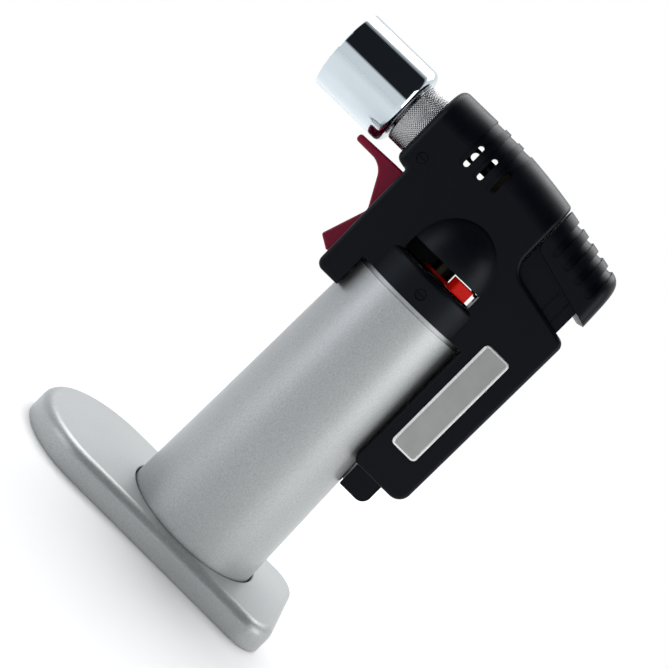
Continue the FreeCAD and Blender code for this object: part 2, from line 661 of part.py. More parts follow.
def cut_arch(body, name, middle, groove, section, sides):
    """Shallow groove over the top and down the sides, with round ends.

    groove is its (width, depth, foot) and section is the arch's (half width, corner radius, top)."""
    width, depth, foot = groove
    half, corner, top = section
    end_level = f"({foot} + {width} / 2)"
    inner = f"({half} - {depth})"
    inner_corner = f"({corner} - {depth})"
    crown = f"({top} - {depth})"
    profile = new_sketch(body, name + "_profile", "YZ_Plane", f"{middle} + {width} / 2")
    outline(profile, [
        (f"-{inner}", end_level),
        (f"-{inner}", f"{crown} - {inner_corner}"),
        (f"-{inner} + {inner_corner}", crown, inner_corner, "right"),
        (f"{inner} - {inner_corner}", crown),
        (inner, f"{crown} - {inner_corner}", inner_corner, "right"),
        (inner, end_level),
        (f"{half} + 4", end_level),
        (f"{half} + 4", f"{top} + 5"),
        (f"-{half} - 4", f"{top} + 5"),
        (f"-{half} - 4", end_level),
    ])
    pocket(body, name, profile, width)
    for side in sides:
        outer = half if side == "left" else f"-{half}"
        drum(body, f"{name}_{side}_end", "XZ_Plane", (middle, end_level), f"{width} / 2", depth, outer,
             cut=True, back=side == "right")


def add_bosses(body, side, outward):
    """Spring seat, rocker pin sockets and screw stations."""
    depth = "half_width - shell_wall"
    head_in = "half_width - screw_seat - 0.05"
    block(body, "spring_seat", "XZ_Plane",
          rectangle("spring_seat_x", "spring_seat_foot", "spring_seat_x + 1.8", "spring_seat_top"),
          depth + " + 0.5", back=outward)
    drum(body, "pin_socket", "XZ_Plane", ("rocker_x", "rocker_level"), "rocker_pin_radius + 0.05",
         depth + " + 1.2", cut=True, back=not outward)
    stations = {
        "barrel_screw": ("barrel_screw_x", "barrel_screw_level", -1),
        "grip_screw": ("grip_screw_x", "grip_screw_level", 1),
    }
    for name, (x, level, head_side) in stations.items():
        drum(body, name + "_boss", "XZ_Plane", (x, level), "boss_radius", depth + " + 0.5", back=outward)
        if head_side == side:
            drum(body, name + "_hole", "XZ_Plane", (x, level), "screw_radius + 0.1", "half_width + 1",
                 cut=True, back=not outward)
            drum(body, name + "_head_room", "XZ_Plane", (x, level), "screw_head + 0.15", "5",
                 f"-({head_in})" if side > 0 else head_in, cut=True, back=not outward)
        else:
            drum(body, name + "_thread", "XZ_Plane", (x, level), "screw_radius + 0.05", "9.5",
                 cut=True, back=not outward)
    drum(body, "ring_screw_hole", "XZ_Plane", ("dome_x", "ring_screw_level"), "ring_screw_radius + 0.1", "25",
         cut=True, back=not outward)
    ring_head = "ring_radius - screw_seat - 0.55"
    drum(body, "ring_head_room", "XZ_Plane", ("dome_x", "ring_screw_level"), "ring_screw_head + 0.15", "5",
         f"-({ring_head})" if side > 0 else ring_head, cut=True, back=not outward)
    if side < 0:
        seat = new_sketch(body, "label_seat_profile", "XZ_Plane", "half_width - label_sink")
        outline(seat, label_outline("-0.15"))
        pocket(body, "label_seat", seat, "3", back=True)
    else:
        block(body, "lead_gap", "XZ_Plane", rectangle("9", "109.6", "14", "113"), "9.4",
              cut=True, back=not outward)


def label_outline(inset):
    """Round-cornered plate outline."""
    wide = f"(label_width / 2 - ({inset}))"
    tall = f"(label_length / 2 - ({inset}))"
    corner = f"(label_round - ({inset}))"
    left, right = f"label_x - {wide}", f"label_x + {wide}"
    foot, top = f"label_level - {tall}", f"label_level + {tall}"
    return [
        (f"{left} + {corner}", foot, corner, "left"),
        (f"{right} - {corner}", foot),
        (right, f"{foot} + {corner}", corner, "left"),
        (right, f"{top} - {corner}"),
        (f"{right} - {corner}", top, corner, "left"),
        (f"{left} + {corner}", top),
        (left, f"{top} - {corner}", corner, "left"),
        (left, f"{foot} + {corner}"),
    ]


def make_label():
    """Metal plate in the left side of the handle, with a raised border."""
    body = new_body("label_plate")
    block(body, "plate", "XZ_Plane", label_outline("0"), "label_thickness", "half_width - label_sink")
    block(body, "field", "XZ_Plane", label_outline("0.75"), "0.12",
          "half_width - label_sink + label_thickness", cut=True)
    return body


def make_screws():
    """Two screws through the ring into the neck and two that join the halves."""
    ring_seat, shell_seat = "ring_radius - screw_seat - 0.5", "half_width - screw_seat"
    long_shank = "half_width + 7"
    plans = [
        ("dome_x", "ring_screw_level", -1, ring_seat, "ring_screw_head", "3.6", "ring_screw_radius"),
        ("dome_x", "ring_screw_level", 1, ring_seat, "ring_screw_head", "3.6", "ring_screw_radius"),
        ("barrel_screw_x", "barrel_screw_level", -1, shell_seat, "screw_head", long_shank, "screw_radius"),
        ("grip_screw_x", "grip_screw_level", 1, shell_seat, "screw_head", long_shank, "screw_radius"),
    ]
    screws = []
    for x, level, side, seat, head_radius, shank, shank_radius in plans:
        sign = "-" if side < 0 else ""
        stages = [(head_radius, "screw_head_height", seat), (shank_radius, shank, f"({seat}) - ({shank})")]
        pieces = []
        for radius, length, start in stages:
            rod = doc.addObject("Part::Cylinder", "screw_rod")
            rod.setExpression("Radius", bound(radius))
            rod.setExpression("Height", bound(length))
            rod.Placement.Rotation = FreeCAD.Rotation(Vec(1, 0, 0), -90 if side > 0 else 90)
            rod.setExpression("Placement.Base.x", bound(x))
            rod.setExpression("Placement.Base.y", bound(f"{sign}({start})"))
            rod.setExpression("Placement.Base.z", bound(level))
            pieces.append(rod)
        screw = doc.addObject("Part::MultiFuse", "screw")
        screw.Shapes = pieces
        slot = doc.addObject("Part::Box", "screw_slot")
        slot.setExpression("Length", bound(f"{head_radius} * 1.5"))
        slot.Width = 0.6
        slot.Height = 0.45
        slot.setExpression("Placement.Base.x", bound(f"{x} - {head_radius} * 0.75"))
        slot.setExpression("Placement.Base.y", bound(f"{sign}({seat} + screw_head_height - 0.3) - 0.3"))
        slot.setExpression("Placement.Base.z", bound(f"{level} - 0.225"))
        cut = doc.addObject("Part::Cut", "slotted_screw")
        cut.Base = screw
        cut.Tool = slot
        screws.append(cut)
    group = doc.addObject("Part::Compound", "housing_screws")
    group.Links = screws
    return group


def make_handle_foot():
    """Stop that stands out below the handle, held by its flange between the halves."""
    body = new_body("handle_foot")
    block(body, "leg", "XZ_Plane", [
        ("stop_front", "stop_foot"),
        ("stop_rear - stop_round", "stop_foot"),
        ("stop_rear", "stop_foot + stop_round", "stop_round", "left"),
        ("stop_rear", "handle_cavity_foot + 0.2"),
        ("stop_front", "handle_cavity_foot + 0.2"),
    ], "stop_half * 2", both=True)
    clear_tank(body)
    block(body, "flange", "XZ_Plane",
          rectangle("handle_cavity_front + 0.2", "handle_cavity_foot + 0.1", "30.6", "piezo_foot - 0.8"),
          "stop_half * 2 + 3", both=True)
    return body


def make_trigger():
    """Sliding trigger: upper prong, hollow finger rest and lower beak, with a tongue for the rocker."""
    body = new_body("trigger")
    block(body, "blade", "XZ_Plane", [
        ("trigger_tip_x", "prong_top"),
        ("trigger_tip_x", "prong_foot"),
        ("prong_root_x", "prong_foot - 0.1"),
        ("trigger_waist_x", "trigger_waist_level"),
        ("beak_x", "beak_top"),
        ("trigger_back_x - 2.3", "beak_foot"),
        ("trigger_back_x", "beak_foot + 0.6"),
        ("trigger_back_x", "ring_top + chamber_floor + 0.4"),
        ("trigger_block_x", "ring_top + chamber_floor + 0.4"),
        ("trigger_block_x", "tongue_foot"),
        ("tongue_tip", "tongue_foot"),
        ("tongue_tip", "tongue_top"),
        ("trigger_block_x", "tongue_top"),
        ("trigger_block_x", "trigger_top"),
        ("prong_shoulder_x", "trigger_top"),
    ], "trigger_half * 2", both=True)
    corners = [
        ("prong_upper_tip", "trigger_tip_x", "prong_top", "0.9"),
        ("prong_lower_tip", "trigger_tip_x", "prong_foot", "0.9"),
        ("finger_top", "prong_root_x", "prong_foot - 0.1", "6"),
        ("waist", "trigger_waist_x", "trigger_waist_level", "2.5"),
        ("beak", "beak_x", "beak_top", "0.8"),
    ]
    for name, x, level, radius in corners:
        rounded(body, name, [(x, "0", level)], radius)
    rims = []
    for y in ("-trigger_half", "trigger_half"):
        rims += [("-38", y, "119.4"), ("-34", y, "trigger_top - 0.13"), ("-29.7", y, "92.97")]
    rounded(body, "rim", rims, "0.7")
    return body


def make_rocker():
    """Forked bell crank: the trigger pushes its lower arms and its nose lifts the valve stem."""
    body = new_body("valve_rocker")
    block(body, "crank", "XZ_Plane", [
        ("rocker_x - 1.2", "rocker_arm_foot"),
        ("rocker_x + 1.2", "rocker_arm_foot"),
        ("rocker_x + 1.2", "rocker_level - 1.6"),
        ("0", "rocker_level - 1"),
        ("0", "rocker_level + 1", "1.02", "left"),
        ("rocker_x + 1.7", "rocker_level + 1"),
        ("rocker_x", "rocker_level + 2.2"),
        ("rocker_x - 2.2", "rocker_level", "2.2", "left"),
        ("rocker_x - 1.2", "rocker_level - 1.84", "2.2", "left"),
    ], "rocker_half_width * 2", both=True)
    drum(body, "pin_hole", "XZ_Plane", ("rocker_x", "rocker_level"), "rocker_pin_radius + running_gap",
         "20", cut=True, both=True)
    block(body, "fork", "XZ_Plane", rectangle("rocker_x + 2.2", "rocker_level - 4", "4", "rocker_level + 4"),
          "3.4", cut=True, both=True)
    block(body, "arm_split", "XZ_Plane",
          rectangle("rocker_x - 3", "rocker_arm_foot - 2", "rocker_x + 3", "rocker_level - 2.4"),
          "3.4", cut=True, both=True)
    return body


def make_rocker_pin():
    """Pin across the housing that the rocker turns on."""
    body = new_body("rocker_pin")
    drum(body, "rod", "XZ_Plane", ("rocker_x", "rocker_level"), "rocker_pin_radius",
         "(half_width - shell_wall + 1.1) * 2", both=True)
    return body


def make_button():
    """Ribbed thumb button: arched cap, hollow box stem and the leg that presses the igniter."""
    body = new_body("thumb_button")
    block(body, "cap", "XZ_Plane", [
        ("button_front", BUTTON_TOP.format(x="button_front")),
        ("button_front", "button_skirt_front"),
        ("button_rear", "button_skirt_rear"),
        ("button_rear - button_lean", BUTTON_TOP.format(x="(button_rear - button_lean)")),
    ], "button_half * 2", both=True)
    rounded(body, "skirt_corner", [("button_front", "0", "button_skirt_front")], "button_skirt_round")
    rounded(body, "crown", [("25", f"{side}button_half", BUTTON_TOP.format(x="25")) for side in ("-", "")],
            "button_side_round")
    slant = "button_side_round * (1 - sqrt(0.5))"
    top = BUTTON_TOP.format(x="(button_rear - button_lean)")
    heel = [("button_rear - button_lean", "0", top)]
    for side in ("-", ""):
        heel.append(("button_rear - button_lean", f"{side}(button_half - {slant})", f"{top} - {slant}"))
        heel.append(("button_rear - button_lean / 2", f"{side}button_half", "129"))
    rounded(body, "heel", heel, "button_rear_round")
    for i in range(RIB_GAPS):
        middle = f"(rib_first_x + {i} * rib_pitch)"
        cut_arch(body, f"rib_gap_{i}", middle, ("rib_gap", "rib_depth", f"(rib_foot - {i} * rib_fall)"),
                 ("button_half", "button_side_round", BUTTON_TOP.format(x=middle)), ["left", "right"])
    block(body, "stem", "XZ_Plane",
          rectangle("stem_box_front", "stem_box_foot", "stem_box_rear", "button_skirt_front + 2"),
          "stem_box_half * 2", both=True)
    block(body, "hollow", "XY_Plane",
          rectangle("stem_box_front + stem_box_wall", "stem_box_wall - stem_box_half",
                    "stem_box_rear - stem_box_wall", "stem_box_half - stem_box_wall"),
          "stem_box_roof - stem_box_foot", "stem_box_foot", cut=True, back=True)
    for name, sign in (("left", "-"), ("right", "")):
        for i in range(FLUTES):
            x = f"(flute_first_x + {i} * flute_pitch)"
            block(body, f"{name}_flute_{i}", "XY_Plane",
                  rectangle(f"{x} - flute_width / 2", f"{sign}(stem_box_half + 1)",
                            f"{x} + flute_width / 2", f"{sign}(stem_box_half - flute_depth)"),
                  "flute_top - stem_box_foot", "stem_box_foot", cut=True, back=True)
    block(body, "leg", "XZ_Plane", rectangle("leg_front", "leg_foot", "leg_rear", "stem_box_roof + 1"),
          "piezo_half * 2", both=True)
    return body


def make_piezo_housing():
    """Square igniter body with a bore for its plunger and spring."""
    body = new_body("piezo_housing")
    block(body, "case", "XZ_Plane", rectangle("piezo_front", "piezo_foot", "piezo_rear", "piezo_top"),
          "piezo_half * 2", both=True)
    block(body, "bore", "XY_Plane",
          rectangle("plunger_front - 0.1", "-plunger_half - 0.1", "plunger_rear + 0.1", "plunger_half + 0.1"),
          "piezo_top - piezo_bore_foot", "piezo_top", cut=True)
    return body


def make_piezo_plunger():
    """Square plunger that the button's leg drives down into the igniter."""
    body = new_body("piezo_plunger")
    block(body, "slider", "XY_Plane",
          rectangle("plunger_front", "-plunger_half", "plunger_rear", "plunger_half"),
          "leg_foot - plunger_foot", "plunger_foot")
    return body


def make_swept_rod(label, points, radius):
    """Round rod along straight runs with mitred corners."""
    corners = [Vec(*[value(c) for c in p]) for p in points]
    path = Part.makePolygon(corners)
    along = corners[1] - corners[0]
    section = Part.Wire([Part.makeCircle(value(radius), corners[0], along)])
    rod = doc.addObject("Part::Feature", label)
    rod.Shape = path.makePipeShell([section], True, False, 2)
    return rod


def make_gas_tube():
    """Brass tube from the valve's side port, up behind the stem and into the manifold."""
    body = new_body("gas_tube")
    path = new_sketch(body, "route", "XZ_Plane")
    outline(path, [
        ("chimney_radius + 0.1", "gas_port_level"),
        ("gas_tube_x - gas_tube_bend", "gas_port_level"),
        ("gas_tube_x", "gas_port_level + gas_tube_bend", "gas_tube_bend", "left"),
        ("gas_tube_x", "tube_level - gas_tube_bend"),
        ("gas_tube_x - gas_tube_bend", "tube_level", "gas_tube_bend", "left"),
        ("manifold_rear", "tube_level"),
    ], closed=False)
    section = new_sketch(body, "section", "YZ_Plane", "chimney_radius + 0.1")
    ring(section, "0", "gas_port_level", "gas_tube_radius")
    ring(section, "0", "gas_port_level", "gas_way_radius")
    feature(body, "PartDesign::AdditivePipe", "tube", section, Spine=(path, [""]))
    return body


def make_manifold():
    """Brass block that turns the gas forward to the jet."""
    body = new_body("gas_manifold")
    block(body, "block", "XZ_Plane",
          rectangle("manifold_front", "manifold_foot", "manifold_rear", "manifold_top"),
          "manifold_half * 2", both=True)
    rounded(body, "corners", [
        ("manifold_front", "0", "manifold_top"),
        ("manifold_rear", "0", "manifold_top"),
    ], "1.0")
    drum(body, "gas_way", "YZ_Plane", ("0", "tube_level"), "gas_way_radius", "manifold_rear - manifold_front",
         "manifold_rear", cut=True)
    return body


def make_jet():
    """Small brass jet on the manifold's front face."""
    body = new_body("gas_jet")
    turned(body, "jet", [
        ("manifold_front - 4.6", "0.15"),
        ("manifold_front - 4.6", "0.6"),
        ("manifold_front - 3.0", "1.5"),
        ("manifold_front", "1.5"),
        ("manifold_front", "gas_way_radius"),
        ("manifold_front - 3.4", "gas_way_radius"),
        ("manifold_front - 3.8", "0.15"),
    ], "H_Axis", "tube_level")
    return body


def make_mixing_tube():
    """Mixing tube from the manifold to the burner, with a cross hole where air is drawn in."""
    body = new_body("mixing_tube")
    turned(body, "tube", rectangle("tube_front", "tube_bore", "manifold_front", "tube_radius"),
           "H_Axis", "tube_level")
    drum(body, "air_hole", "XZ_Plane", ("vent_first_x", "tube_level"), "air_hole_radius", "10",
         cut=True, both=True)
    return body


def make_burner():
    """Burner head with its plenum, flame holes and neck."""
    body = new_body("burner_head")
    turned(body, "head", [
        ("burner_front", "0"),
        ("burner_front", "burner_radius - 0.8"),
        ("burner_front + 0.8", "burner_radius"),
        ("burner_back", "burner_radius"),
        ("burner_back", "burner_neck"),
        ("burner_rear", "burner_neck"),
        ("burner_rear", "0"),
    ], "H_Axis", "nozzle_level")
    plenum = new_sketch(body, "plenum_profile", "XZ_Plane", shift="nozzle_level")
    outline(plenum, rectangle("burner_front + 1.8", "0", "tube_front", "plenum_radius"))
    feature(body, "PartDesign::Groove", "plenum", plenum, ReferenceAxis=(plenum, ["H_Axis"]), Angle="360")
    drum(body, "tube_socket", "YZ_Plane", ("0", "tube_level"), "tube_radius + 0.03", "6", "burner_rear",
         cut=True)
    drum(body, "electrode_hole", "YZ_Plane", ("0", "ceramic_level"), "ceramic_radius + 0.05", "30",
         "burner_rear", cut=True)
    holes = new_sketch(body, "flame_holes", "YZ_Plane", "burner_front")
    ring(holes, "0", "nozzle_level", "1.1")
    for i in range(5):
        angle = f"{i * 60 - 30}"
        ring(holes, f"3.3 * cos({angle})", f"nozzle_level + 3.3 * sin({angle})", "0.8")
    pocket(body, "flames", holes, "3", back=True)
    return body


def make_air_collar():
    """Ring round the burner's neck that is turned by hand to set the air."""
    body = new_body("air_collar")
    turned(body, "ring", [
        ("collar_front", "burner_neck + 0.05"),
        ("collar_front", "collar_radius - 0.4"),
        ("collar_front + 0.4", "collar_radius"),
        ("collar_rear - 0.4", "collar_radius"),
        ("collar_rear", "collar_radius - 0.4"),
        ("collar_rear", "burner_neck + 0.05"),
    ], "H_Axis", "nozzle_level")
    ports = new_sketch(body, "port_profile", "XZ_Plane")
    ring(ports, "collar_rear - 1.4", "nozzle_level", "0.8")
    pocket(body, "ports", ports, "30", both=True)
    return body


def make_flame_tube():
    """Chromed tube, open in front, with a rounded closed back that seats on the burner's neck."""
    body = new_body("flame_tube")
    inner = "(flame_tube_radius - flame_tube_wall)"
    inner_round = "(flame_tube_round - flame_tube_wall)"
    turned(body, "cup", [
        ("flame_tube_front", inner),
        ("flame_tube_front", "flame_tube_radius"),
        ("flame_tube_rear - flame_tube_round", "flame_tube_radius"),
        ("flame_tube_rear", "flame_tube_radius - flame_tube_round", "flame_tube_round", "right"),
        ("flame_tube_rear", "burner_neck + 0.05"),
        ("flame_tube_rear - flame_tube_wall", "burner_neck + 0.05"),
        ("flame_tube_rear - flame_tube_wall", "flame_tube_radius - flame_tube_round"),
        ("flame_tube_rear - flame_tube_round", inner, inner_round, "left"),
    ], "H_Axis", "nozzle_level")
    return body


def make_ceramic():
    """Ceramic insulator round the electrode."""
    body = new_body("ceramic_insulator")
    turned(body, "sleeve",
           rectangle("ceramic_front", "electrode_radius + 0.03", "ceramic_rear", "ceramic_radius"),
           "H_Axis", "ceramic_level")
    return body


def make_electrode():
    """Straight spark electrode."""
    body = new_body("electrode")
    turned(body, "wire", rectangle("electrode_tip", "0", "ceramic_rear", "electrode_radius"),
           "H_Axis", "ceramic_level")
    return body


def make_lead():
    """Insulated lead from the igniter's side to the electrode, along the right half."""
    side_y = "7.4"
    return make_swept_rod("ignition_lead", [
        ("27", "piezo_half + 0.45", "66"),
        ("23.75", side_y, "70"),
        ("23.75", side_y, "109.4"),
        ("20.4", side_y, "111.1"),
        ("11.0", side_y, "111.2"),
        ("5.0", side_y, "116"),
        ("-1.0", side_y, "ceramic_level"),
        ("-13", side_y, "ceramic_level"),
        ("-23", "0", "ceramic_level"),
        ("ceramic_rear + 0.02", "0", "ceramic_level"),
    ], "lead_radius")


pieces = [
    make_stand(), make_feet(), make_tank_shell(), make_tank_cap(), make_refill_valve(), make_tank_head(),
    make_head_seal(), make_valve_body(), make_valve_stem(), make_wick(),
    make_coil("valve_spring", "1.7", "0.2", "manifold_foot - stem_flange_top", 4,
              ("0", "0", "stem_flange_top + 0.2")),
    make_flow_lever(), make_housing("housing_left", -1), make_housing("housing_right", 1),
    make_label(), make_screws(), make_handle_foot(), make_trigger(),
    make_coil("trigger_spring", "1.4", "0.22", "spring_seat_x - trigger_block_x", 6,
              ("trigger_block_x + 0.22", "0", "(tongue_top + trigger_top) / 2"), (Vec(0, 1, 0), 90)),
    make_rocker(), make_rocker_pin(), make_button(), make_piezo_housing(), make_piezo_plunger(),
    make_coil("piezo_spring", "2.6", "0.35", "plunger_foot - piezo_bore_foot", 6,
              ("(plunger_front + plunger_rear) / 2", "0", "piezo_bore_foot + 0.35")),
    make_gas_tube(), make_manifold(), make_jet(), make_mixing_tube(), make_burner(), make_air_collar(),
    make_flame_tube(), make_ceramic(), make_electrode(), make_lead(),
]

doc.recompute()
failed = [o.Name for o in doc.Objects if "Invalid" in o.State or "Error" in o.State]
if failed:
    raise RuntimeError(f"failed objects: {failed}")
for piece in pieces:
    if piece.Shape.isNull() or not piece.Shape.isValid():
        raise RuntimeError(f"{piece.Label} has no valid shape")
    if piece.Shape.Volume <= 0 or not piece.Shape.Solids:
        raise RuntimeError(f"{piece.Label} holds no solid")
for piece in pieces:
    piece.Shape.exportStep(f"parts/{piece.Label}.step")
    print(f"{piece.Label}: {len(piece.Shape.Solids)} solid(s), {piece.Shape.Volume:.1f} mm3")
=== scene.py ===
"""Finished look of the butane torch: materials, finer pieces, studio and camera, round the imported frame."""
import json
import math

import bpy
from mathutils import Matrix, Vector


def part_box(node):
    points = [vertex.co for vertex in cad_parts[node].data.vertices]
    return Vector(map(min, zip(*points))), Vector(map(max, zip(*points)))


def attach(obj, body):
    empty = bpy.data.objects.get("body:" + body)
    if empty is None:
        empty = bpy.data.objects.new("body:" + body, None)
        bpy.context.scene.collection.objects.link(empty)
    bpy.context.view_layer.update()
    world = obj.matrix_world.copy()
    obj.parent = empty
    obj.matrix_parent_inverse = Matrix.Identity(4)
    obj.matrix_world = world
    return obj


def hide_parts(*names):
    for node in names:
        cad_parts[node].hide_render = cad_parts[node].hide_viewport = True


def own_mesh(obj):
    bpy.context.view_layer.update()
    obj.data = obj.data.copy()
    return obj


MM = 0.001

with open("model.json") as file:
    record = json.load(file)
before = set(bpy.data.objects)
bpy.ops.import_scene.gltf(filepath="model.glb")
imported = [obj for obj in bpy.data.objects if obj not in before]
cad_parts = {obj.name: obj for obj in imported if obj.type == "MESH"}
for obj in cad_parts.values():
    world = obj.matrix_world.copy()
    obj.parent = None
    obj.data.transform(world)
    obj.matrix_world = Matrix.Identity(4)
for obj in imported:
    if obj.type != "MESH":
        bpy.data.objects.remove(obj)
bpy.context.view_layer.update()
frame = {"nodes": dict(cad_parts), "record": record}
scene = bpy.context.scene

# ---------------------------------------------------------------- camera
AIM = Vector((-9.5, 0.0, 75.82)) * MM
VIEW_DISTANCE = 341.0 * MM
VIEW_ELEVATION = math.radians(6.85)
VIEW_AZIMUTH = math.radians(1.61)
# The torch stands at a slant in the picture, so the camera is rolled about its own axis.
VIEW_ROLL = math.radians(44.31)
LENS_MM = 64.67
SENSOR_MM = 36.0


def add_camera():
    """Camera at the photograph's place, with its roll."""
    back = Vector((
        math.sin(VIEW_AZIMUTH) * math.cos(VIEW_ELEVATION),
        -math.cos(VIEW_AZIMUTH) * math.cos(VIEW_ELEVATION),
        math.sin(VIEW_ELEVATION),
    ))
    level = Vector((math.cos(VIEW_AZIMUTH), math.sin(VIEW_AZIMUTH), 0.0))
    rise = back.cross(level)
    right = level * math.cos(VIEW_ROLL) + rise * math.sin(VIEW_ROLL)
    up = rise * math.cos(VIEW_ROLL) - level * math.sin(VIEW_ROLL)
    data = bpy.data.cameras.new("camera")
    data.lens = LENS_MM
    data.sensor_width = SENSOR_MM
    data.clip_start = 0.01
    camera = bpy.data.objects.new("camera", data)
    turn = Matrix((right, up, back)).transposed().to_4x4()
    camera.matrix_world = Matrix.Translation(AIM + back * VIEW_DISTANCE) @ turn
    scene.collection.objects.link(camera)
    scene.camera = camera


# ---------------------------------------------------------------- node helpers
class Nodes:
    """Builds shader nodes in one tree, in few words."""

    def __init__(self, tree):
        self.tree = tree
        self._coords = None

    def add(self, kind, links=(), **settings):
        """A new node; links maps its input names to sockets or to numbers, settings are its properties."""
        node = self.tree.nodes.new(kind)
        for key, setting in settings.items():
            setattr(node, key, setting)
        for key, source in dict(links).items():
            if isinstance(source, bpy.types.NodeSocket):
                self.tree.links.new(source, node.inputs[key])
            else:
                node.inputs[key].default_value = source
        return node

    def coords(self):
        """Object coordinates, in metres in the row frame."""
        if self._coords is None:
            self._coords = self.add("ShaderNodeTexCoord").outputs["Object"]
        return self._coords

    def stretched(self, scale):
        """Coordinates multiplied along each axis."""
        links = {"Vector": self.coords(), "Scale": scale}
        return self.add("ShaderNodeMapping", links).outputs["Vector"]

    def noise(self, scale, detail=2.0, rough=0.5, vector=None):
        """Noise from 0 to 1 with features of about 1/scale metres."""
        links = {"Vector": vector or self.coords(), "Scale": scale, "Detail": detail, "Roughness": rough}
        return self.add("ShaderNodeTexNoise", links).outputs["Fac"]

    def span(self, source, low, high, from_low=0.3, from_high=0.7):
        """Carries a number from one range to another."""
        links = {"Value": source, "From Min": from_low, "From Max": from_high, "To Min": low, "To Max": high}
        return self.add("ShaderNodeMapRange", links).outputs["Result"]

    def blend(self, factor, first, second):
        """Mix of two colours."""
        node = self.add("ShaderNodeMix", data_type="RGBA")
        for index, source in ((0, factor), (6, first), (7, second)):
            if isinstance(source, bpy.types.NodeSocket):
                self.tree.links.new(source, node.inputs[index])
            else:
                node.inputs[index].default_value = source
        return node.outputs[2]

    def math(self, operation, *sources):
        """One arithmetic step."""
        return self.add("ShaderNodeMath", dict(enumerate(sources)), operation=operation).outputs[0]

    def bump(self, height, depth, strength=1.0):
        """Normal shaken by a height map; depth is in metres."""
        links = {"Height": height, "Distance": depth, "Strength": strength}
        return self.add("ShaderNodeBump", links).outputs["Normal"]


def rgba(color, factor=1.0):
    """A colour with alpha, scaled."""
    return tuple(channel * factor for channel in color) + (1.0,)


def material(name, metallic=0.0, **sockets):
    """A Principled material and its node builder; sockets are constants set on the shader itself."""
    made = bpy.data.materials.new(name)
    made.use_nodes = True
    nodes = Nodes(made.node_tree)
    shader = made.node_tree.nodes["Principled BSDF"]
    shader.inputs["Metallic"].default_value = metallic
    for key, setting in sockets.items():
        shader.inputs[key.replace("_", " ")].default_value = setting
    return made, nodes, shader


def feed(nodes, shader, **sources):
    """Links sources to the shader's inputs."""
    for key, source in sources.items():
        nodes.tree.links.new(source, shader.inputs[key.replace("_", " ")])


# ---------------------------------------------------------------- materials
def silver_paint():
    """Metallic lacquer: flakes a third of a millimetre wide, in a satin clear layer."""
    made, nodes, shader = material("silver_paint", metallic=0.55, Coat_Weight=0.08, Coat_Roughness=0.25)
    flakes = nodes.noise(2600, detail=3, rough=0.7)
    clouds = nodes.noise(70, detail=3)
    grey = nodes.blend(nodes.span(flakes, 0, 1), rgba((0.30, 0.31, 0.315)), rgba((0.46, 0.475, 0.48)))
    shade = nodes.blend(nodes.span(clouds, 0, 0.16), grey, rgba((0.31, 0.32, 0.33)))
    feed(nodes, shader, Base_Color=shade, Roughness=nodes.span(flakes, 0.36, 0.50),
         Normal=nodes.bump(flakes, 0.00003, 0.5))
    return made


def moulded(name, color, low, high, grain=0.00001, **sockets):
    """Moulded plastic with a fine spark-eroded texture and faint cloudy wear."""
    made, nodes, shader = material(name, **sockets)
    fine = nodes.noise(5200, detail=2)
    clouds = nodes.noise(130, detail=4, rough=0.6)
    tone = nodes.blend(nodes.span(clouds, 0, 1), rgba(color, 0.88), rgba(color, 1.14))
    feed(nodes, shader, Base_Color=tone, Roughness=nodes.span(clouds, low, high),
         Normal=nodes.bump(fine, grain, 0.6))
    return made


def metal(name, color, low, high, scratch=(600, 600, 600), tint=0.9, depth=0.000004):
    """Bare metal with fine machining marks stretched along one way."""
    made, nodes, shader = material(name, metallic=1.0)
    marks = nodes.noise(1.0, detail=4, rough=0.65, vector=nodes.stretched(scratch))
    clouds = nodes.noise(160, detail=3)
    tone = nodes.blend(nodes.span(clouds, 0, 1), rgba(color, tint), rgba(color))
    feed(nodes, shader, Base_Color=tone, Roughness=nodes.span(marks, low, high),
         Normal=nodes.bump(marks, depth, 0.5))
    return made


def felt():
    """Pale felt with a woolly surface."""
    made, nodes, shader = material("felt", Sheen_Weight=0.4)
    fibres = nodes.noise(1.0, detail=5, rough=0.7, vector=nodes.stretched((4000, 4000, 900)))
    feed(nodes, shader, Base_Color=nodes.blend(fibres, rgba((0.55, 0.52, 0.44)), rgba((0.8, 0.78, 0.7))),
         Roughness=nodes.span(fibres, 0.85, 1.0), Normal=nodes.bump(fibres, 0.0001))
    return made


